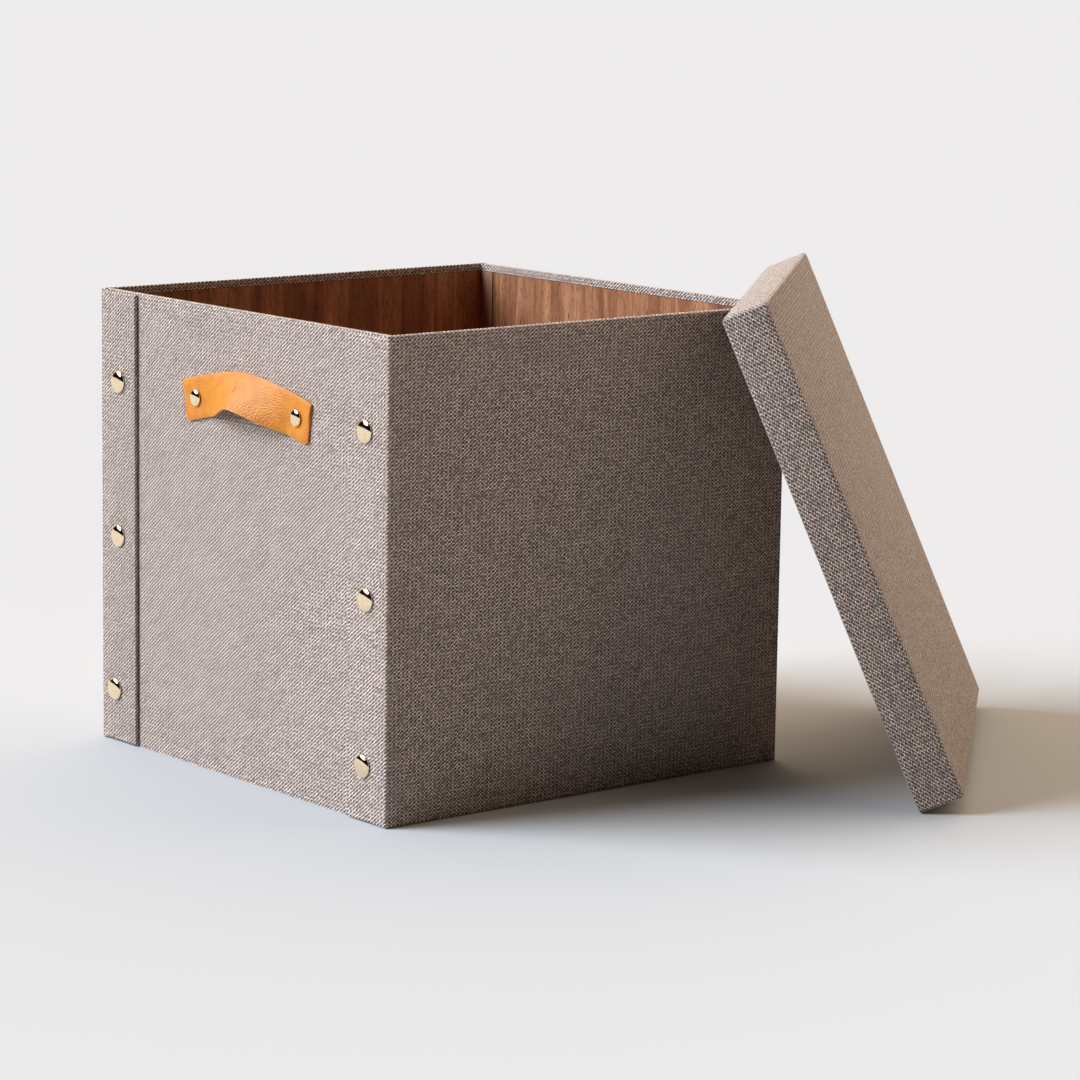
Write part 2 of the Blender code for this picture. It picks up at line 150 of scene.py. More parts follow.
def finish_mesh(
    name: str,
    body: Body,
    material: bpy.types.Material,
    place: Matrix | None = None,
    smooth_degrees: float = 40.0,
) -> bpy.types.Object:
    """Make a piece from a bmesh, with its place in its mesh.

    Args:
        name: The piece's name.
        body: The bmesh, which is freed.
        material: The piece's material.
        place: Matrix from the piece's own frame to the model's.
        smooth_degrees: Edges sharper than this stay sharp.

    Returns:
        The new object, at the origin.
    """
    bmesh.ops.recalc_face_normals(body, faces=body.faces)
    if place is not None:
        body.transform(place)
    mesh = bpy.data.meshes.new(name)
    body.to_mesh(mesh)
    body.free()
    mesh.materials.append(material)
    mesh.shade_smooth()
    mesh.set_sharp_from_angle(angle=math.radians(smooth_degrees))
    piece = bpy.data.objects.new(name, mesh)
    bpy.context.scene.collection.objects.link(piece)
    return piece


def uv_layer(body: Body) -> bmesh.types.BMLayerItem:
    """Return the bmesh's UV layer, making it where there is none."""
    layers = body.loops.layers.uv
    return layers.get(UV_NAME) or layers.new(UV_NAME)


def project_cloth(body: Body) -> None:
    """Lay the cloth's threads on every side: UV in metres, the twill rising to the right.

    Args:
        body: The bmesh in its own frame, Z up.
    """
    body.normal_update()
    layer = uv_layer(body)
    for face in body.faces:
        normal = face.normal
        sizes = [abs(normal.x), abs(normal.y), abs(normal.z)]
        side = sizes.index(max(sizes))
        for loop in face.loops:
            point = loop.vert.co
            if side == 0:
                across = -point.y if normal.x < 0.0 else point.y
                loop[layer].uv = (across, point.z)
            elif side == 1:
                across = point.x if normal.y < 0.0 else -point.x
                loop[layer].uv = (across, point.z)
            else:
                loop[layer].uv = (point.x, point.y)


def edges_where(body: Body, test: Callable[[Vector], bool]) -> list[bmesh.types.BMEdge]:
    """Return the edges whose two ends both pass a test of their place.

    Args:
        body: The bmesh.
        test: Function of a point that says whether it belongs.

    Returns:
        The matching edges.
    """
    return [edge for edge in body.edges if all(test(vert.co) for vert in edge.verts)]


def round_edges(
    body: Body, edges: list[bmesh.types.BMEdge], radius: float, segments: int
) -> None:
    """Bevel edges to a round of a radius.

    Args:
        body: The bmesh.
        edges: The edges to round.
        radius: The round's radius.
        segments: How many faces make the round.
    """
    bmesh.ops.bevel(
        body,
        geom=edges,
        offset=radius,
        offset_type="OFFSET",
        segments=segments,
        profile=0.5,
        affect="EDGES",
        clamp_overlap=True,
        material=-1,
    )


def top_edges(body: Body, above: float) -> list[bmesh.types.BMEdge]:
    """Return the sharp edges that lie along a piece's top."""
    return [
        edge for edge in edges_where(body, lambda co: co.z > above)
        if edge.calc_face_angle(0.0) > 1.0
    ]


def cut_across(body: Body, place: Vector, normal: Vector) -> None:
    """Cut a loop of edges right through a bmesh, leaving both sides."""
    everything = body.verts[:] + body.edges[:] + body.faces[:]
    bmesh.ops.bisect_plane(body, geom=everything, plane_co=place, plane_no=normal)


def prism(outline: list[tuple[float, float]], height: float) -> Body:
    """Extrude an outline up from the ground plane.

    Args:
        outline: The outline's points, in order.
        height: How far up it goes.

    Returns:
        The prism's bmesh.
    """
    body = bmesh.new()
    face = body.faces.new([body.verts.new((x, y, 0.0)) for x, y in outline])
    swept = bmesh.ops.extrude_face_region(body, geom=[face])["geom"]
    verts = [item for item in swept if isinstance(item, bmesh.types.BMVert)]
    bmesh.ops.translate(body, vec=(0.0, 0.0, height), verts=verts)
    bmesh.ops.recalc_face_normals(body, faces=body.faces)
    return body


def hem(body: Body, depth: float, inner: float, turn_in: float) -> None:
    """Step a wall's inner face back under the turned-in cloth and take away what is bare.

    Args:
        body: The wall's bmesh, Y into the bin.
        depth: How far in the cloth's inner face is.
        inner: How far in the bare face is.
        turn_in: The height at which the turned-in cloth ends.
    """
    up = Vector((0.0, 0.0, 1.0))
    for height in (turn_in, turn_in - HEM_STEP):
        cut_across(body, up * height, up)
    for vert in body.verts:
        if near(vert.co.y, depth) and vert.co.z < turn_in - HEM_STEP / 2.0:
            vert.co.y = inner
    bare = [face for face in body.faces if all(near(vert.co.y, inner) for vert in face.verts)]
    bmesh.ops.delete(body, geom=bare, context="FACES")


def thicken(body: Body, thickness: float) -> None:
    """Give an open skin a cloth's thickness, inwards from its outer face."""
    bmesh.ops.recalc_face_normals(body, faces=body.faces)
    bmesh.ops.solidify(body, geom=body.faces[:], thickness=thickness)


def near(value: float, target: float, within: float = 1e-5) -> bool:
    """Say whether two lengths are the same."""
    return abs(value - target) < within


# ---------------------------------------------------------------------------------------
# Finishes.


@dataclass(frozen=True)
class MelangeTwill:
    """Polyester twill, yarn-dyed in two tones and woven 2/1: a matt, speckled diagonal.

    Such cloth usually has its threads 0.4 mm apart. They are drawn 0.8 and 1 mm apart, which is
    as fine as the diagonal still shows. Darker crossings along the other diagonal break it into
    a fine check. Painted shade darkens the gaps between threads.
    """

    name: str = "melange polyester twill, woven"
    light_thread: str = "#E2CCBE"
    dark_thread: str = "#402F27"
    end_pitch_mm: float = 1.04
    pick_pitch_mm: float = 0.80
    slub_mm: float = 2.6
    patch_mm: float = 38.0
    thread_spread: float = 0.07
    fleck_spread: float = 1.0
    counter_share: float = 0.54
    slub_spread: float = 0.44
    patch_spread: float = 0.12
    # Painted shade in the gaps between threads: how far the threads' round darkens the tone, and
    # what is left at the bottom of a gap.
    gap_shade_depth: float = 1.15
    gap_shade_floor: float = 0.0095
    roughness: float = 0.92
    sheen: float = 0.04
    relief_mm: float = 0.18

    def build(self) -> bpy.types.Material:
        """Return the cloth's material, woven on the piece's UV in metres."""
        material, tree, shader = new_material(self.name)
        layout = add_node(tree, "ShaderNodeUVMap", {"uv_map": UV_NAME}).outputs["UV"]
        split = add_node(tree, "ShaderNodeSeparateXYZ", inputs={0: layout})
        across = self.math(tree, "DIVIDE", split.outputs["X"], self.end_pitch_mm * MM)
        along = self.math(tree, "DIVIDE", split.outputs["Y"], self.pick_pitch_mm * MM)
        end = self.math(tree, "FLOOR", across)
        pick = self.math(tree, "FLOOR", along)
        warp_over = self.every_third(tree, self.math(tree, "SUBTRACT", end, pick))
        counter = self.every_third(tree, self.math(tree, "ADD", end, pick))
        height = self.mix(
            tree, warp_over, self.thread_round(tree, along), self.thread_round(tree, across)
        )

        # A thread's own tone, times everything that lightens or darkens it about 1; the last
        # factor is painted shade in the gaps between threads, darkest where a thread's round
        # falls to 0.
        warp_tone = self.about_one(tree, self.white_noise(tree, end, 11.3), self.thread_spread)
        weft_tone = self.about_one(tree, self.white_noise(tree, pick, 47.9), self.thread_spread)
        tone = self.mix(tree, warp_over, weft_tone, warp_tone)
        slub = self.cloud(tree, layout, self.slub_mm, 3.0, 0.75)
        patch = self.cloud(tree, layout, self.patch_mm, 2.0, 0.5)
        shades = (
            self.about_one(tree, slub, self.slub_spread),
            self.fleck(tree, end, pick),
            self.math(tree, "MULTIPLY_ADD", counter, -self.counter_share, 1.0),
            self.about_one(tree, patch, self.patch_spread),
            # Painted shade: the tone falls towards the gaps between threads, following the
            # threads' round.
            self.math(tree, "MULTIPLY_ADD", height, self.gap_shade_depth, self.gap_shade_floor),
        )
        for shade in shades:
            tone = self.math(tree, "MULTIPLY", tone, shade)

        threads = add_node(
            tree,
            "ShaderNodeMix",
            {"data_type": "RGBA"},
            {0: warp_over, 6: linear(self.light_thread), 7: linear(self.dark_thread)},
        )
        grey = add_node(tree, "ShaderNodeCombineXYZ", inputs={0: tone, 1: tone, 2: tone})
        cloth = add_node(
            tree,
            "ShaderNodeMix",
            {"data_type": "RGBA", "blend_type": "MULTIPLY"},
            {0: 1.0, 6: threads.outputs[2], 7: grey.outputs[0]},
        )
        tree.links.new(cloth.outputs[2], shader.inputs["Base Color"])
        bump = add_node(
            tree,
            "ShaderNodeBump",
            inputs={"Strength": 0.5, "Distance": self.relief_mm * MM, "Height": height},
        )
        tree.links.new(bump.outputs["Normal"], shader.inputs["Normal"])
        shader.inputs["Roughness"].default_value = self.roughness
        shader.inputs["Sheen Weight"].default_value = self.sheen
        shader.inputs["Sheen Roughness"].default_value = 0.5
        shader.inputs["Specular IOR Level"].default_value = 0.25
        return material

    @staticmethod
    def math(tree: Tree, operation: str, *values: object) -> Socket:
        """Return the result of one sum on sockets or numbers."""
        inputs = dict(enumerate(values))
        return add_node(tree, "ShaderNodeMath", {"operation": operation}, inputs).outputs[0]

    @staticmethod
    def mix(tree: Tree, share: Socket, first: Socket, second: Socket) -> Socket:
        """Return a value between two others."""
        return add_node(tree, "ShaderNodeMix", inputs={0: share, 2: first, 3: second}).outputs[0]

    def every_third(self, tree: Tree, step: Socket) -> Socket:
        """Return 1 on every third diagonal of crossings, and 0 between."""
        turn = self.math(tree, "FLOORED_MODULO", step, 3.0)
        return self.math(tree, "LESS_THAN", turn, 0.5)

    def about_one(self, tree: Tree, value: Socket, spread: float) -> Socket:
        """Return a value from 0 to 1 brought to a spread about 1."""
        return self.math(tree, "MULTIPLY_ADD", value, spread, 1.0 - spread / 2.0)

    def thread_round(self, tree: Tree, place: Socket) -> Socket:
        """Return the round of one set of threads.

        Args:
            tree: The material's node tree.
            place: The place across the threads, one to a thread.

        Returns:
            From 0 between threads to 1 on top of one.
        """
        inside = self.math(tree, "FRACT", place)
        centred = self.math(tree, "MULTIPLY_ADD", inside, 2.0, -1.0)
        squared = self.math(tree, "MULTIPLY", centred, centred)
        return self.math(tree, "SUBTRACT", 1.0, squared)

    def white_noise(self, tree: Tree, number: Socket, seed: float) -> Socket:
        """Return each thread's own chance value, from 0 to 1."""
        inputs = {"W": self.math(tree, "ADD", number, seed)}
        noise = add_node(tree, "ShaderNodeTexWhiteNoise", {"noise_dimensions": "1D"}, inputs)
        return noise.outputs["Value"]

    def fleck(self, tree: Tree, end: Socket, pick: Socket) -> Socket:
        """Return the melange's fleck: each crossing's own brightness about 1."""
        crossing = add_node(tree, "ShaderNodeCombineXYZ", inputs={0: end, 1: pick}).outputs[0]
        inputs = {"Vector": crossing}
        noise = add_node(tree, "ShaderNodeTexWhiteNoise", {"noise_dimensions": "2D"}, inputs)
        return self.about_one(tree, noise.outputs["Value"], self.fleck_spread)

    @staticmethod
    def cloud(tree: Tree, layout: Socket, size_mm: float, detail: float, rough: float) -> Socket:
        """Return soft noise over the cloth, of a given size."""
        noise = add_node(
            tree,
            "ShaderNodeTexNoise",
            {"noise_dimensions": "2D"},
            {
                "Vector": layout,
                "Scale": 1.0 / (size_mm * MM),
                "Detail": detail,
                "Roughness": rough,
            },
        )
        return noise.outputs["Fac"]


class Grain(Enum):
    """The way that a wood print's grain runs, by the axis that it is drawn out along."""

    ALONG_X = 0
    UPRIGHT = 2


@dataclass(frozen=True)
class WalnutPaper:
    """Paper printed with quarter-sawn walnut: straight brown grain with short dark pores."""

    name: str = "walnut-printed paper, satin"
    dark: str = "#6A3D24"
    middle: str = "#965F3D"
    light: str = "#BE875F"
    pore: str = "#3A1E11"
    grain_mm: float = 15.0
    streak_mm: float = 1.1
    pore_mm: float = 0.5
    stretch: float = 14.0
    pore_amount: float = 0.63
    pore_blur: float = 0.06
    pore_stretch: float = 10.0
    streak_share: float = 0.30
    grain: Grain = Grain.UPRIGHT
    roughness: float = 0.56

    def build(self) -> bpy.types.Material:
        """Return the lining's material."""
        material, tree, shader = new_material(self.name)
        place = add_node(tree, "ShaderNodeTexCoord").outputs["Object"]
        drawn = self.drawn_out(self.stretch)
        grain = self.streaks(tree, place, drawn, self.grain_mm, detail=4.0, distortion=1.2)
        streak = self.streaks(tree, place, drawn, self.streak_mm, detail=3.0, distortion=0.3)
        both = add_node(tree, "ShaderNodeMix", inputs={0: self.streak_share, 2: grain, 3: streak})
        ramp = add_node(tree, "ShaderNodeValToRGB", inputs={0: both.outputs[0]})
        set_ramp(ramp, [(0.32, self.dark), (0.50, self.middle), (0.68, self.light)])
        drawn = self.drawn_out(self.pore_stretch)
        pore = self.streaks(tree, place, drawn, self.pore_mm, detail=1.0, distortion=0.0)
        shown = add_node(
            tree,
            "ShaderNodeMapRange",
            inputs={
                "Value": pore,
                "From Min": self.pore_amount,
                "From Max": self.pore_amount + self.pore_blur,
            },
        )
        wood = add_node(
            tree,
            "ShaderNodeMix",
            {"data_type": "RGBA"},
            {0: shown.outputs[0], 6: ramp.outputs["Color"], 7: linear(self.pore)},
        )
        tree.links.new(wood.outputs[2], shader.inputs["Base Color"])
        bump = add_node(
            tree,
            "ShaderNodeBump",
            {"invert": True},
            {"Strength": 0.25, "Distance": 0.05 * MM, "Height": shown.outputs[0]},
        )
        tree.links.new(bump.outputs["Normal"], shader.inputs["Normal"])
        shader.inputs["Roughness"].default_value = self.roughness
        shader.inputs["Specular IOR Level"].default_value = 0.3
        return material

    def drawn_out(self, times: float) -> tuple[float, float, float]:
        """Return the scale that draws a pattern out along the grain."""
        return tuple(1.0 / times if axis == self.grain.value else 1.0 for axis in range(3))

    @staticmethod
    def streaks(
        tree: Tree,
        place: Socket,
        stretch: tuple[float, float, float],
        size_mm: float,
        detail: float,
        distortion: float,
    ) -> Socket:
        """Return noise drawn out along the grain.

        Args:
            tree: The material's node tree.
            place: The point on the piece.
            stretch: Scale along each axis.
            size_mm: The width of a streak.
            detail: How many finer sizes it holds.
            distortion: How much it wanders.

        Returns:
            The noise, from 0 to 1.
        """
        mapping = add_node(tree, "ShaderNodeMapping", inputs={"Vector": place, "Scale": stretch})
        noise = add_node(
            tree,
            "ShaderNodeTexNoise",
            inputs={
                "Vector": mapping.outputs[0],
                "Scale": 1.0 / (size_mm * MM),
                "Detail": detail,
                "Distortion": distortion,
            },
        )
        return noise.outputs["Fac"]


@dataclass(frozen=True)
class PlainPaper:
    """Uncoated paper or greyboard, rolled: matt, with a faint fibre fleck."""

    name: str
    base: str
    fleck: str
    fleck_mm: float = 1.4
    roughness: float = 0.85

    def build(self) -> bpy.types.Material:
        """Return the paper's material."""
        material, tree, shader = new_material(self.name)
        place = add_node(tree, "ShaderNodeTexCoord").outputs["Object"]
        noise = add_node(
            tree,
            "ShaderNodeTexNoise",
            inputs={"Vector": place, "Scale": 1.0 / (self.fleck_mm * MM), "Detail": 4.0},
        )
        ramp = add_node(tree, "ShaderNodeValToRGB", inputs={0: noise.outputs["Fac"]})
        set_ramp(ramp, [(0.38, self.fleck), (0.56, self.base)])
        tree.links.new(ramp.outputs["Color"], shader.inputs["Base Color"])
        bump = add_node(
            tree,
            "ShaderNodeBump",
            inputs={"Strength": 0.3, "Distance": 0.05 * MM, "Height": noise.outputs["Fac"]},
        )
        tree.links.new(bump.outputs["Normal"], shader.inputs["Normal"])
        shader.inputs["Roughness"].default_value = self.roughness
        return material


@dataclass(frozen=True)
class PebbledLeather:
    """Vegetable-tanned cowhide, rolled with a fine pebble: warm tan with a soft gloss.

    The strap's long edges are cut, and show a duller tan.
    """

    name: str = "tan cowhide, pebble-embossed"
    tan: str = "#D08010"
    deep: str = "#C26F0B"
    cut: str = "#C87E2C"
    half_width_mm: float = 13.5
    cut_from_mm: float = 1.2
    cut_full_mm: float = 0.2
    pebble_mm: float = 1.15
    relief_mm: float = 0.34
    mottle_mm: float = 9.0
    roughness: float = 0.46

    def build(self) -> bpy.types.Material:
        """Return the leather's material, on UV along and across the strap in metres."""
        material, tree, shader = new_material(self.name)
        layout = add_node(tree, "ShaderNodeUVMap", {"uv_map": UV_NAME}).outputs["UV"]
        pebble = add_node(
            tree,
            "ShaderNodeTexVoronoi",
            {"feature": "SMOOTH_F1", "voronoi_dimensions": "2D"},
            {"Vector": layout, "Scale": 1.0 / (self.pebble_mm * MM), "Smoothness": 0.5},
        )
        inputs = {"Vector": layout, "Scale": 1.0 / (self.mottle_mm * MM), "Detail": 4.0}
        mottle = add_node(tree, "ShaderNodeTexNoise", inputs=inputs)
        ramp = add_node(tree, "ShaderNodeValToRGB", inputs={0: mottle.outputs["Fac"]})
        set_ramp(ramp, [(0.36, self.deep), (0.62, self.tan)])
        split = add_node(tree, "ShaderNodeSeparateXYZ", inputs={0: layout})
        off_centre = add_node(
            tree, "ShaderNodeMath", {"operation": "ABSOLUTE"}, {0: split.outputs["Y"]}
        )
        edge = add_node(
            tree,
            "ShaderNodeMapRange",
            inputs={
                "Value": off_centre.outputs[0],
                "From Min": (self.half_width_mm - self.cut_from_mm) * MM,
                "From Max": (self.half_width_mm - self.cut_full_mm) * MM,
            },
        )
        skin = add_node(
            tree,
            "ShaderNodeMix",
            {"data_type": "RGBA"},
            {0: edge.outputs[0], 6: ramp.outputs["Color"], 7: linear(self.cut)},
        )
        tree.links.new(skin.outputs[2], shader.inputs["Base Color"])
        bump = add_node(
            tree,
            "ShaderNodeBump",
            {"invert": True},
            {"Distance": self.relief_mm * MM, "Height": pebble.outputs["Distance"]},
        )
        tree.links.new(bump.outputs["Normal"], shader.inputs["Normal"])
        shader.inputs["Roughness"].default_value = self.roughness
        shader.inputs["Specular IOR Level"].default_value = 0.45
        return material


@dataclass(frozen=True)
class PolishedBrass:
    """Stamped brass, polished and lacquered: pale gold and mirror-bright, with a faint haze."""

    name: str = "brass, stamped and polished"
    bright: str = "#FFEFD2"
    dull: str = "#FFE2B2"
    haze_mm: float = 2.5
    roughness: float = 0.07

    def build(self) -> bpy.types.Material:
        """Return the brass's material."""
        material, tree, shader = new_material(self.name)
        place = add_node(tree, "ShaderNodeTexCoord").outputs["Object"]
        haze = add_node(
            tree,
            "ShaderNodeTexNoise",
            inputs={"Vector": place, "Scale": 1.0 / (self.haze_mm * MM), "Detail": 3.0},
        )
        ramp = add_node(tree, "ShaderNodeValToRGB", inputs={0: haze.outputs["Fac"]})
        set_ramp(ramp, [(0.35, self.dull), (0.60, self.bright)])
        tree.links.new(ramp.outputs["Color"], shader.inputs["Base Color"])
        rough = add_node(
            tree,
            "ShaderNodeMapRange",
            inputs={
                "Value": haze.outputs["Fac"],
                "To Min": self.roughness - 0.04,
                "To Max": self.roughness + 0.06,
            },
        )
        tree.links.new(rough.outputs[0], shader.inputs["Roughness"])
        shader.inputs["Metallic"].default_value = 1.0
        return material


# ---------------------------------------------------------------------------------------
# Sub-assemblies.


class End(Enum):
    """The two end walls, by the way they face along X."""

    LEFT = -1
    RIGHT = 1


class Side(Enum):
    """The two long walls, by the way they face along Y."""

    FRONT = -1
    BACK = 1


def end_place(end: End) -> Matrix:
    """Return the matrix from an end wall's frame, X along it and Y in, to the model's."""
    low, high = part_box(f"{end.name.lower()}_wall_cover")
    face = low.x if end is End.LEFT else high.x
    turn = Matrix.Rotation(end.value * math.pi / 2.0, 4, "Z")
    return turn @ Matrix.Translation((0.0, -abs(face), 0.0))


@dataclass
class Finishes:
    """Every finish of the bin, built once."""

    twill: bpy.types.Material
    walnut: bpy.types.Material
    floor_walnut: bpy.types.Material
    strip: bpy.types.Material
    greyboard: bpy.types.Material
    lid_paper: bpy.types.Material
    leather: bpy.types.Material
    brass: bpy.types.Material

    @classmethod
    def build(cls) -> "Finishes":
        """Build all of the materials and return them."""
        return cls(
            twill=MelangeTwill().build(),
            walnut=WalnutPaper().build(),
            floor_walnut=WalnutPaper(
                name="walnut-printed paper, laid flat", grain=Grain.ALONG_X
            ).build(),
            strip=WalnutPaper(
                name="walnut-printed paper, plain stripe", dark="#7D543C", middle="#946850",
                light="#A77B60", pore_amount=0.9,
            ).build(),
            greyboard=PlainPaper("greyboard, rolled", "#8A857E", "#6F6A63").build(),
            lid_paper=PlainPaper("uncoated taupe paper", "#9A8B7E", "#87786C").build(),
            leather=PebbledLeather().build(),
            brass=PolishedBrass().build(),
        )


@dataclass
class WrappedWall:
    """A long wall and its two flaps, wrapped in one length of cloth folded round the corners.

    Its frame has X along the wall, Y into the bin from the outer face, and Z up.
    """

    side: Side
    fold_radius: float = 1.5 * MM
    rim_radius: float = 0.7 * MM
    edge_radius: float = 0.8 * MM
    flap_drop: float = 1.3 * MM
    flap_foot: float = 1.2 * MM
    notch: float = 5.0 * MM
    lip: float = 0.5 * MM
    hem_gap: float = 0.3 * MM

    def nodes(self) -> tuple[str, ...]:
        """Return the frame's nodes that the cloth stands for, the wall's first."""
        name = self.side.name.lower()
        flaps = [f"{name}_{end.name.lower()}_flap_cover" for end in End]
        return (f"{name}_wall_cover", *flaps)

    def place(self) -> Matrix:
        """Return the matrix from the wall's frame to the model's."""
        low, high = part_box(self.nodes()[0])
        face = low.y if self.side is Side.FRONT else high.y
        turn = 0.0 if self.side is Side.FRONT else math.pi
        return Matrix.Rotation(turn, 4, "Z") @ Matrix.Translation((0.0, -abs(face), 0.0))

    def mesh(self) -> Body:
        """Return the wrap: the plan of the wall and its flaps, extruded up and hemmed."""
        low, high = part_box(self.nodes()[0])
        flap_low, flap_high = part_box(self.nodes()[1])
        half, depth, height = high.x, high.y - low.y, high.z
        flap_inner = half - (flap_high.x - flap_low.x)
        face = abs(low.y if self.side is Side.FRONT else high.y)
        flap_end = face - abs(flap_high.y if self.side is Side.FRONT else flap_low.y)
        outline = [
            (-half, 0.0), (half, 0.0), (half, flap_end), (flap_inner, flap_end),
            (flap_inner, depth), (-flap_inner, depth), (-flap_inner, flap_end), (-half, flap_end),
        ]
        body = prism(outline, height)
        self.trim_flaps(body, height, depth + self.notch)
        self.round_folds(body, half, height, flap_end)
        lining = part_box(f"{self.side.name.lower()}_wall_lining")[1].z
        hem(body, depth, depth - self.lip, lining + self.hem_gap)
        thicken(body, CLOTH)
        return body

    def trim_flaps(self, body: Body, height: float, cut: float) -> None:
        """Lower the flaps' tops and lift their feet, just past the fold.

        Args:
            body: The wrap's bmesh.
            height: The wall's height.
            cut: How far in from the wall's face the flaps are cut.
        """
        cut_across(body, Vector((0.0, cut, 0.0)), Vector((0.0, 1.0, 0.0)))
        for vert in body.verts:
            if vert.co.y > cut - 1e-6 and near(vert.co.z, height):
                vert.co.z -= self.flap_drop
            elif vert.co.y > cut - 1e-6 and near(vert.co.z, 0.0):
                vert.co.z += self.flap_foot

    def round_folds(self, body: Body, half: float, height: float, flap_end: float) -> None:
        """Round the corner folds, then the flaps' free edges, then the rim.

        Args:
            body: The wrap's bmesh.
            half: Half the wall's length.
            height: The wall's height.
            flap_end: How far in from the wall's face the flaps end.
        """
        folds = edges_where(body, lambda co: near(abs(co.x), half) and near(co.y, 0.0))
        round_edges(body, folds, self.fold_radius, 4)
        frees = edges_where(body, lambda co: near(co.y, flap_end))
        upright = [edge for edge in frees if near(edge.verts[0].co.x, edge.verts[1].co.x)]
        round_edges(body, upright, self.edge_radius, 3)
        round_edges(body, top_edges(body, height - self.flap_drop - 1e-5), self.rim_radius, 3)

    def build(self, finishes: Finishes) -> bpy.types.Object:
        """Build the wrap and put it in the frame.

        Args:
            finishes: The bin's finishes.

        Returns:
            The wrap.
        """
        body = self.mesh()
        project_cloth(body)
        name = f"{self.side.name.lower()}_cloth_wrap"
        wrap = finish_mesh(name, body, finishes.twill, self.place())
        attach(wrap, "bin")
        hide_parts(*self.nodes())
        # Cut 480 mm long: the wall, and each flap outside and back inside, by the bin's height
        # with a turning at the rim and the foot.
        LOG.info("%s: cloth round the wall and its flaps", name)
        return wrap


@dataclass
class EndPanelCloth:
    """The cloth on an end wall, from its foot over the rim to the turn-in inside."""

    end: End
    rim_radius: float = 0.9 * MM
    lip: float = 0.5 * MM
    hem_gap: float = 0.3 * MM

    def node(self) -> str:
        """Return the node that the cloth stands for."""
        return f"{self.end.name.lower()}_wall_cover"

    def build(self, finishes: Finishes) -> bpy.types.Object:
        """Build the cloth as a section swept along the wall.

        Args:
            finishes: The bin's finishes.

        Returns:
            The piece.
        """
        low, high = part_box(self.node())
        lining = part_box(f"{self.end.name.lower()}_wall_lining")[1].z
        half, depth = high.y, high.x - low.x
        body = prism([(-half, 0.0), (half, 0.0), (half, depth), (-half, depth)], high.z)
        round_edges(body, top_edges(body, high.z - 1e-5), self.rim_radius, 4)
        hem(body, depth, depth - self.lip, lining + self.hem_gap)
        thicken(body, CLOTH)
        project_cloth(body)
        name = f"{self.end.name.lower()}_panel_cloth"
        piece = finish_mesh(name, body, finishes.twill, end_place(self.end))
        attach(piece, "bin")
        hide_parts(self.node())
        # Cut to the panel, with a turning over the rim and one under the foot.
        LOG.info("%s: cloth over the end panel", name)
        return piece


@dataclass
class DomedRivets:
    """The brass caps and handle rivets: low stamped domes with a rolled edge."""

    cap_rise: float = 2.6 * MM
    rivet_rise: float = 2.1 * MM
    roll_share: float = 0.22
    roll_steps: int = 3
    dome_steps: int = 7
    segments: int = 40

    def profile(self, radius: float, rise: float) -> list[tuple[float, float]]:
        """Return a dome's section.

        Args:
            radius: Outer radius of the dome.
            rise: Height of the crown over its seat.

        Returns:
            Points of radius and height, from under the edge to the crown.
        """
        roll = self.roll_share * rise
        points = [(0.0, 0.0), (radius - roll, 0.0)]
        for step in range(1, self.roll_steps + 1):
            angle = math.pi / 2.0 * step / self.roll_steps
            points.append((radius - roll + roll * math.sin(angle), roll - roll * math.cos(angle)))
        for step in range(1, self.dome_steps + 1):
            angle = math.pi / 2.0 * step / self.dome_steps
            points.append((radius * math.cos(angle), roll + (rise - roll) * math.sin(angle)))
        points[-1] = (0.0, rise)
        return points

    def build(self, finishes: Finishes) -> list[bpy.types.Object]:
        """Build one dome on each rivet of the frame.

        Args:
            finishes: The bin's finishes.

        Returns:
            The domes.
        """
        nodes = [node for node in sorted(frame["nodes"]) if "_cap_" in node or "_rivet_" in node]
        domes = [self.dome(node, finishes) for node in nodes]
        LOG.info("brass: %d domed caps and rivets", len(domes))
        return domes

    def dome(self, node: str, finishes: Finishes) -> bpy.types.Object:
        """Build one dome, seated where the frame's rivet is.

        Args:
            node: The cap or rivet that the dome stands for.
            finishes: The bin's finishes.

        Returns:
            The dome.
        """
        low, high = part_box(node)
        radius = (high.z - low.z) / 2.0
        outward = -1.0 if low.x < 0.0 else 1.0
        rise = self.cap_rise if "_cap_" in node else self.rivet_rise
        crown = low.x if outward < 0.0 else high.x
        centre = Vector((crown - outward * rise, (low.y + high.y) / 2.0, (low.z + high.z) / 2.0))
        body = bmesh.new()
        points = [body.verts.new((r, 0.0, h)) for r, h in self.profile(radius, rise)]
        edges = [body.edges.new(pair) for pair in zip(points, points[1:])]
        bmesh.ops.spin(
            body,
            geom=points + edges,
            cent=(0.0, 0.0, 0.0),
            axis=(0.0, 0.0, 1.0),
            angle=2.0 * math.pi,
            steps=self.segments,
            use_merge=True,
        )
        bmesh.ops.remove_doubles(body, verts=body.verts, dist=1e-7)
        place = Matrix.Translation(centre) @ Matrix.Rotation(outward * math.pi / 2.0, 4, "Y")
        piece = finish_mesh(f"{node}_dome", body, finishes.brass, place, 60.0)
        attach(piece, "bin")
        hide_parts(node)
        return piece


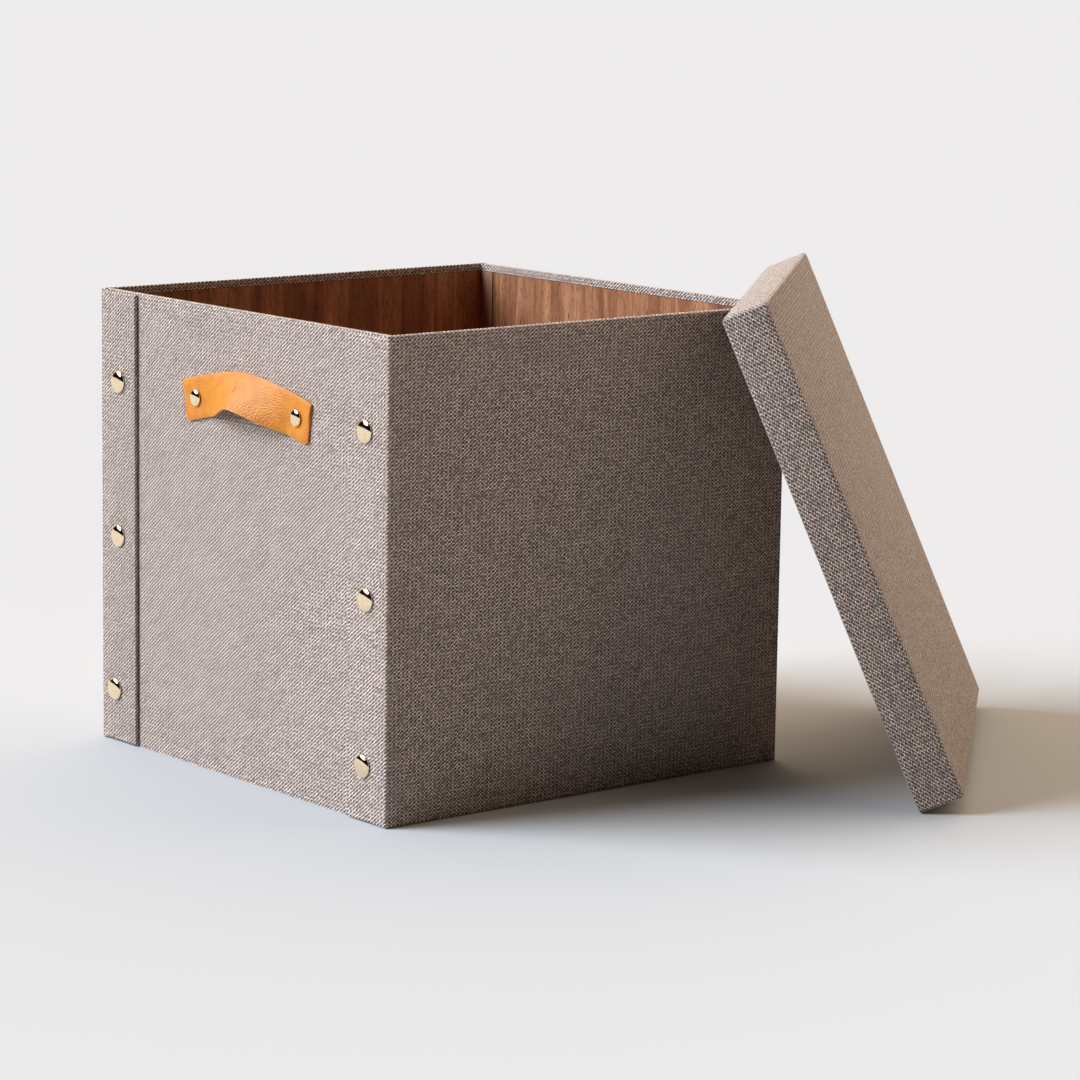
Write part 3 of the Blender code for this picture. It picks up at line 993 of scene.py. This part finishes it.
@dataclass
class StrapHandle:
    """A leather strap, riveted at both ends and bowed off the panel between them.

    Its frame has X along the wall, Y into the bin from the panel's face, and Z up.
    """

    end: End
    width: float = 27.0 * MM
    thickness: float = 1.8 * MM
    half_length: float = 67.5 * MM
    end_height: float = 236.9 * MM
    raise_height: float = 10.9 * MM
    raise_power: float = 1.6
    arch_half: float = 44.5 * MM
    arch_shift: float = 4.0 * MM
    arch_powers: tuple[float, float] = (1.5, 1.3)
    shift: float = 7.0 * MM
    tilt: float = 0.66
    top_clearance: float = 1.0 * MM
    stand_off: float = 0.3 * MM
    end_round: float = 2.5 * MM
    rivet_place: float = 54.5 * MM
    dimple: float = 0.25 * MM
    dimple_reach: float = 7.5 * MM
    edge_drop: float = 0.55 * MM
    edge_reach: float = 1.3 * MM
    stations: int = 120
    bands: int = 14

    def centre_height(self, along: float) -> float:
        """Return the height of the strap's middle line."""
        share = min(abs(along) / self.half_length, 1.0)
        return self.end_height + self.raise_height * (1.0 - share**self.raise_power)

    def slope(self, along: float) -> float:
        """Return the middle line's angle in the panel's plane."""
        step = 0.5 * MM
        rise = self.centre_height(along + step) - self.centre_height(along - step)
        return math.atan(rise / (2.0 * step))

    def arch(self, along: float) -> float:
        """Return how far the strap has left the panel, from 0 to 1."""
        share = min(abs(along - self.arch_shift) / self.arch_half, 1.0)
        inner_power, outer_power = self.arch_powers
        return (1.0 - share**inner_power) ** outer_power

    def half_width(self, along: float) -> float:
        """Return half the strap's width, less its rounded end corners."""
        short = max(self.end_round - (self.half_length - abs(along)), 0.0)
        straight = self.width / 2.0 - self.end_round
        return straight + math.sqrt(max(self.end_round**2 - short**2, 0.0))

    def surface(self, along: float, across: float) -> tuple[Vector, Vector]:
        """Return a point of the strap's back and the way out of it.

        Args:
            along: Distance from the strap's middle along the wall.
            across: Place across it, from -1 at the bottom edge to 1 at the top.

        Returns:
            The point, and the unit vector off the panel there.
        """
        arch = self.arch(along)
        tilt = self.tilt * arch
        off = self.stand_off + self.width / 2.0 * math.sin(tilt) + self.top_clearance * arch
        slope = self.slope(along)
        upright = Vector((-math.sin(slope), 0.0, math.cos(slope)))
        cross = upright * math.cos(tilt) + Vector((0.0, math.sin(tilt), 0.0))
        run = Vector((math.cos(slope), 0.0, math.sin(slope)))
        out = cross.cross(run).normalized()
        if out.y > 0.0:
            out.negate()
        height = self.centre_height(along) + self.width / 2.0 * (1.0 - math.cos(tilt))
        middle = Vector((along + self.shift, -off, height))
        return middle + cross * (across * self.half_width(along)), out

    def mesh(self) -> Body:
        """Return the strap: a grid bent to its arch, given its thickness and soft edges."""
        body = bmesh.new()
        bmesh.ops.create_grid(body, x_segments=self.stations, y_segments=self.bands, size=1.0)
        layer = uv_layer(body)
        for face in body.faces:
            for loop in face.loops:
                u, v = loop.vert.co.x, loop.vert.co.y
                loop[layer].uv = (u * self.half_length, v * self.width / 2.0)
        copy = bmesh.ops.duplicate(body, geom=body.verts[:] + body.edges[:] + body.faces[:])
        front = [item for item in copy["geom"] if isinstance(item, bmesh.types.BMVert)]
        fronts = set(front)
        for vert in body.verts:
            u, v = vert.co.x, vert.co.y
            along = u * self.half_length
            back, out = self.surface(along, v)
            if vert in fronts:
                spare = min((1.0 - abs(v)) * self.width / 2.0, self.half_length * (1.0 - abs(u)))
                soft = self.edge_drop * max(0.0, 1.0 - spare / self.edge_reach) ** 2
                press = self.press(along, v * self.width / 2.0)
                back = back + out * (self.thickness - soft - press)
            vert.co = back
        rims = [edge for edge in body.edges if edge.is_boundary]
        bmesh.ops.bridge_loops(body, edges=rims)
        for face in body.faces:
            for loop in face.loops:
                if loop[layer].uv.length < 1e-9:
                    loop[layer].uv = (loop.vert.co.x, self.width / 2.0)
        return body

    def press(self, along: float, across: float) -> float:
        """Return how deep the leather is pressed in round a rivet."""
        away = math.hypot(abs(along) - self.rivet_place, across)
        return self.dimple * math.exp(-((away / self.dimple_reach) ** 2))

    def build(self, finishes: Finishes) -> bpy.types.Object:
        """Build the strap on its panel.

        Args:
            finishes: The bin's finishes.

        Returns:
            The strap.
        """
        name = f"{self.end.name.lower()}_leather_strap"
        strap = finish_mesh(name, self.mesh(), finishes.leather, end_place(self.end), 50.0)
        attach(strap, "bin")
        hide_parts(f"{self.end.name.lower()}_handle_strap")
        LOG.info("%s: strap %.0f mm wide", name, self.width / MM)
        return strap


@dataclass
class LidCloth:
    """The lid's cloth: one sheet over the top, down the skirts and turned in at the rim."""

    edge_radius: float = 2.4 * MM
    turn_in: float = 8.0 * MM
    wall: float = 3.3 * MM
    width: float = 325.0 * MM
    depth: float = 331.0 * MM
    height: float = 30.0 * MM

    def place(self) -> Matrix:
        """Return the lid's frame, read from the joint it tips about and the frame's lid.

        Returns:
            The matrix whose X runs along the foot, Y up the lean and Z out of the top.
        """
        joint = next(item for item in frame["joints"] if item["name"] == "lid_tip")
        along = Vector(joint["axis"]).normalized()
        foot = Vector(joint["pos_m"])
        corners = [vert.co for vert in frame["nodes"]["lid_top_cover"].data.vertices]
        away = along.cross(Vector((0.0, 0.0, 1.0))).normalized()
        highest = max(corners, key=lambda co: co.z)
        lean = self.lean_at(highest.z)
        up = Vector((0.0, 0.0, 1.0)) * math.sin(lean) - away * math.cos(lean)
        out = Vector((0.0, 0.0, 1.0)) * math.cos(lean) + away * math.sin(lean)
        matrix = Matrix((along, up, out)).transposed().to_4x4()
        matrix.translation = foot
        return matrix

    def lean_at(self, rise: float) -> float:
        """Return the lean at which the lid's top edge is at a height."""
        reach = math.hypot(self.depth, self.height)
        return math.asin(rise / reach) - math.atan2(self.height, self.depth)

    def mesh(self) -> Body:
        """Return the tray: a block hollowed from its rim by insets and extrusions."""
        body = bmesh.new()
        bmesh.ops.create_cube(body, size=1.0)
        bmesh.ops.scale(body, vec=(self.width, self.depth, self.height), verts=body.verts)
        shift = (0.0, self.depth / 2.0, self.height / 2.0)
        bmesh.ops.translate(body, vec=shift, verts=body.verts)
        rim = next(face for face in body.faces if face.normal.z < -0.5)
        bmesh.ops.inset_region(body, faces=[rim], thickness=self.wall)
        rim = self.sink(body, rim, self.turn_in)
        bmesh.ops.delete(body, geom=[rim], context="FACES_ONLY")
        outer = [
            edge for edge in body.edges
            if edge.calc_face_angle(0.0) > 1.0 and self.is_outer(edge)
        ]
        round_edges(body, outer, self.edge_radius, 4)
        thicken(body, CLOTH)
        return body

    def is_outer(self, edge: bmesh.types.BMEdge) -> bool:
        """Say whether an edge is one of the tray's outer twelve, by its two ends."""
        for vert in edge.verts:
            sides = near(abs(vert.co.x), self.width / 2.0)
            ends = near(vert.co.y, 0.0) or near(vert.co.y, self.depth)
            if not (sides and ends):
                return False
        return True

    @staticmethod
    def sink(body: Body, face: bmesh.types.BMFace, depth: float) -> bmesh.types.BMFace:
        """Extrude a downward face up into the tray, and return its new place."""
        swept = bmesh.ops.extrude_face_region(body, geom=[face])["geom"]
        verts = [item for item in swept if isinstance(item, bmesh.types.BMVert)]
        bmesh.ops.translate(body, vec=(0.0, 0.0, depth), verts=verts)
        if face.is_valid:
            bmesh.ops.delete(body, geom=[face], context="FACES_ONLY")
        return next(item for item in swept if isinstance(item, bmesh.types.BMFace))

    def build(self, finishes: Finishes) -> bpy.types.Object:
        """Build the lid's cloth in its leaning place.

        Args:
            finishes: The bin's finishes.

        Returns:
            The cloth.
        """
        body = self.mesh()
        project_cloth(body)
        cloth = finish_mesh("lid_cloth", body, finishes.twill, self.place())
        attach(cloth, "lid")
        skirts = [f"lid_{name}_skirt_cover" for name in ("foot", "head", "left", "right")]
        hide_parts("lid_top_cover", *skirts)
        # Cut to the top, the four skirts and their turnings, less a notch at each corner.
        LOG.info("lid_cloth: tray %.0f x %.0f mm", self.width / MM, self.depth / MM)
        return cloth


@dataclass
class BoardsAndLinings:
    """The frame's own boards and linings, which keep their shape and get their finish."""

    count: int = field(default=0, init=False)

    def finish_for(self, node: str, finishes: Finishes) -> bpy.types.Material | None:
        """Return the finish of a node that stays, or nothing where a piece replaces it."""
        if node == "lid_lining":
            return finishes.lid_paper
        if node.endswith("corner_strip"):
            return finishes.strip
        if node == "floor_panel_lining":
            return finishes.floor_walnut
        if node.endswith("_lining"):
            return finishes.walnut
        if node.endswith("_board"):
            return finishes.greyboard
        if node == "base_cover":
            return finishes.lid_paper
        return None

    def build(self, finishes: Finishes) -> None:
        """Dress every board and lining of the frame.

        Args:
            finishes: The bin's finishes.
        """
        for node, item in frame["nodes"].items():
            material = self.finish_for(node, finishes)
            if material is None:
                continue
            item.data.materials.clear()
            item.data.materials.append(material)
            self.count += 1
        LOG.info("boards and linings: %d nodes dressed", self.count)


@dataclass
class Studio:
    """A plain pale floor, a soft key light from the left, a pale surround and the camera."""

    eye: tuple[float, float, float] = (-1.5315, -1.9780, 0.5739)
    azimuth: float = 39.27
    elevation: float = 9.83
    roll: float = 0.868
    lens_mm: float = 129.03
    sensor_mm: float = 36.0
    key_from: tuple[float, float] = (-0.83, 0.56)
    key_elevation: float = 35.0
    key_strength: float = 6.4
    key_colour: str = "#E5F1FF"
    key_spread: float = 40.0
    sky: str = "#FFEAD2"
    sky_edge: float = 0.1
    sky_low: float = 0.0
    sky_high: float = 1.98
    sky_brightest: tuple[float, float, float] = (0.74, 0.42, 0.58)
    floor: str = "#BBBBBB"
    floor_size: float = 80.0
    floor_gap: float = 0.1 * MM

    def build(self) -> None:
        """Build the floor, the lights and the camera."""
        self.build_floor()
        self.build_key()
        self.build_surround()
        self.build_camera()
        bpy.context.scene.view_settings.view_transform = "Standard"
        LOG.info("studio: floor, key light, surround and camera")

    def build_floor(self) -> None:
        """Lay the floor under the bin."""
        body = bmesh.new()
        bmesh.ops.create_grid(body, x_segments=1, y_segments=1, size=self.floor_size / 2.0)
        material, _, shader = new_material("matt painted floor")
        shader.inputs["Base Color"].default_value = linear(self.floor)
        shader.inputs["Roughness"].default_value = 1.0
        shader.inputs["Specular IOR Level"].default_value = 0.0
        below = Matrix.Translation((0.0, 0.0, -self.floor_gap))
        floor = finish_mesh("studio_floor", body, material, below)

    def build_key(self) -> None:
        """Hang the key light: a wide soft sun from the left and a little behind."""
        light = bpy.data.lights.new("key_light", "SUN")
        light.energy = self.key_strength
        light.angle = math.radians(self.key_spread)
        light.color = linear(self.key_colour)[:3]
        key = bpy.data.objects.new("key_light", light)
        bpy.context.scene.collection.objects.link(key)
        lift = math.radians(self.key_elevation)
        towards = Vector((self.key_from[0], self.key_from[1], 0.0)).normalized() * math.cos(lift)
        towards.z = math.sin(lift)
        key.rotation_euler = towards.to_track_quat("Z", "Y").to_euler()

    def build_surround(self) -> None:
        """Set the surround, which is brightest up behind to the right, as by a white wall."""
        world = bpy.data.worlds.new("pale surround")
        bpy.context.scene.world = world
        world.use_nodes = True
        tree = world.node_tree
        direction = add_node(tree, "ShaderNodeTexCoord").outputs["Generated"]
        facing = add_node(
            tree,
            "ShaderNodeVectorMath",
            {"operation": "DOT_PRODUCT"},
            {0: direction, 1: Vector(self.sky_brightest).normalized()},
        )
        strength = add_node(
            tree,
            "ShaderNodeMapRange",
            {"interpolation_type": "SMOOTHSTEP"},
            {
                "Value": facing.outputs["Value"],
                "From Min": self.sky_edge,
                "From Max": 1.0,
                "To Min": self.sky_low,
                "To Max": self.sky_high,
            },
        )
        background = tree.nodes["Background"]
        background.inputs["Color"].default_value = linear(self.sky)
        tree.links.new(strength.outputs[0], background.inputs["Strength"])

    def build_camera(self) -> None:
        """Set up the camera."""
        data = bpy.data.cameras.new("camera")
        data.lens = self.lens_mm
        data.sensor_width = self.sensor_mm
        data.clip_end = 200.0
        camera = bpy.data.objects.new("camera", data)
        bpy.context.scene.collection.objects.link(camera)
        turn = Matrix.Rotation(-math.radians(self.azimuth), 4, "Z")
        tilt = Matrix.Rotation(math.radians(90.0 - self.elevation), 4, "X")
        roll = Matrix.Rotation(math.radians(self.roll), 4, "Z")
        camera.matrix_world = Matrix.Translation(self.eye) @ turn @ tilt @ roll
        bpy.context.scene.camera = camera


def main() -> None:
    """Build the studio and every sub-assembly, in order."""
    logging.basicConfig(level=logging.INFO, format="%(name)s: %(message)s")
    Studio().build()
    finishes = Finishes.build()
    for side in Side:
        WrappedWall(side).build(finishes)
    for end in End:
        EndPanelCloth(end).build(finishes)
        StrapHandle(end).build(finishes)
    DomedRivets().build(finishes)
    LidCloth().build(finishes)
    BoardsAndLinings().build(finishes)


if __name__ == "__main__":
    main()
